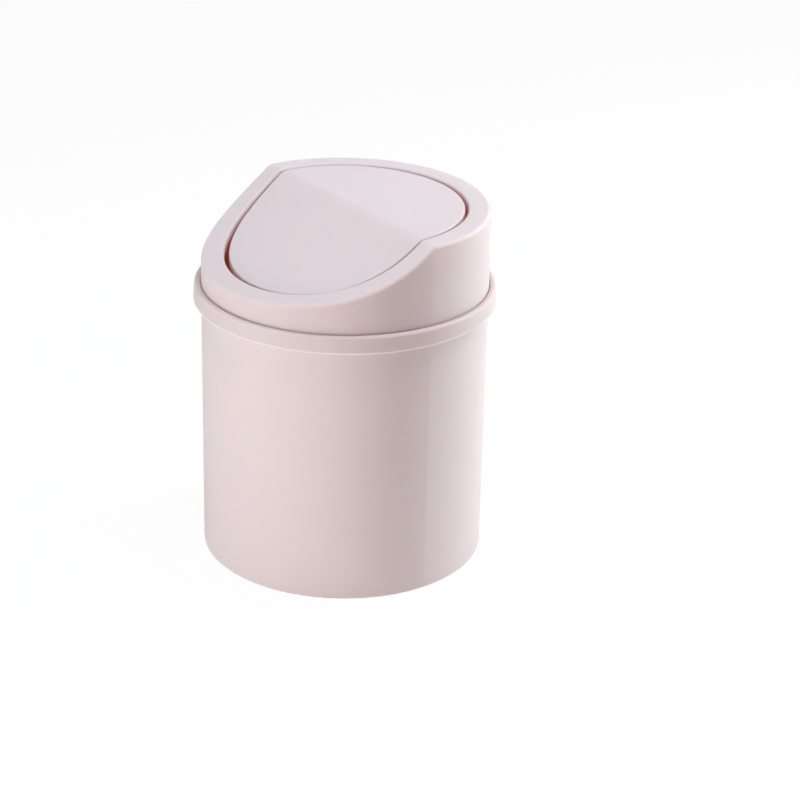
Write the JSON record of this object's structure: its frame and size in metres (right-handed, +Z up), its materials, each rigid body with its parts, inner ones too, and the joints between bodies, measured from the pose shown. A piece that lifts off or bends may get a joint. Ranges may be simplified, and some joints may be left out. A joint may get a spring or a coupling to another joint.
{
  "type": "swing lid bin",
  "caption": "Small cylindrical countertop bin with a stepped collar, a drop-in lid with a scooped front, and a folded flap that swings both ways.",
  "frame": {"origin": "centre of the foot ring, on the surface that the bin stands on", "axes": "+Z up; the lid's ridge and the flap's hinge lie along X; the scooped front of the lid faces -Y and its flat rear faces +Y"},
  "size_m": [0.1379, 0.138, 0.166],
  "materials": {
    "blush_plastic": "satin"
  },
  "bodies": {
    "bucket": {"bin_body": "blush_plastic"},
    "lid": {"lid_housing": "blush_plastic"},
    "flap": {"swing_flap": "blush_plastic"}
  },
  "joints": [
    {"name": "lid_lift", "type": "slide", "parent": "bucket", "child": "lid", "axis": [0, 0, 1], "range_m": [0, 0.06]},
    {"name": "flap_swing", "type": "hinge", "parent": "lid", "child": "flap", "pos_m": [0, -0.00063, 0.1594], "axis": [1, 0, 0], "range_deg": [-90, 90]}
  ]
}
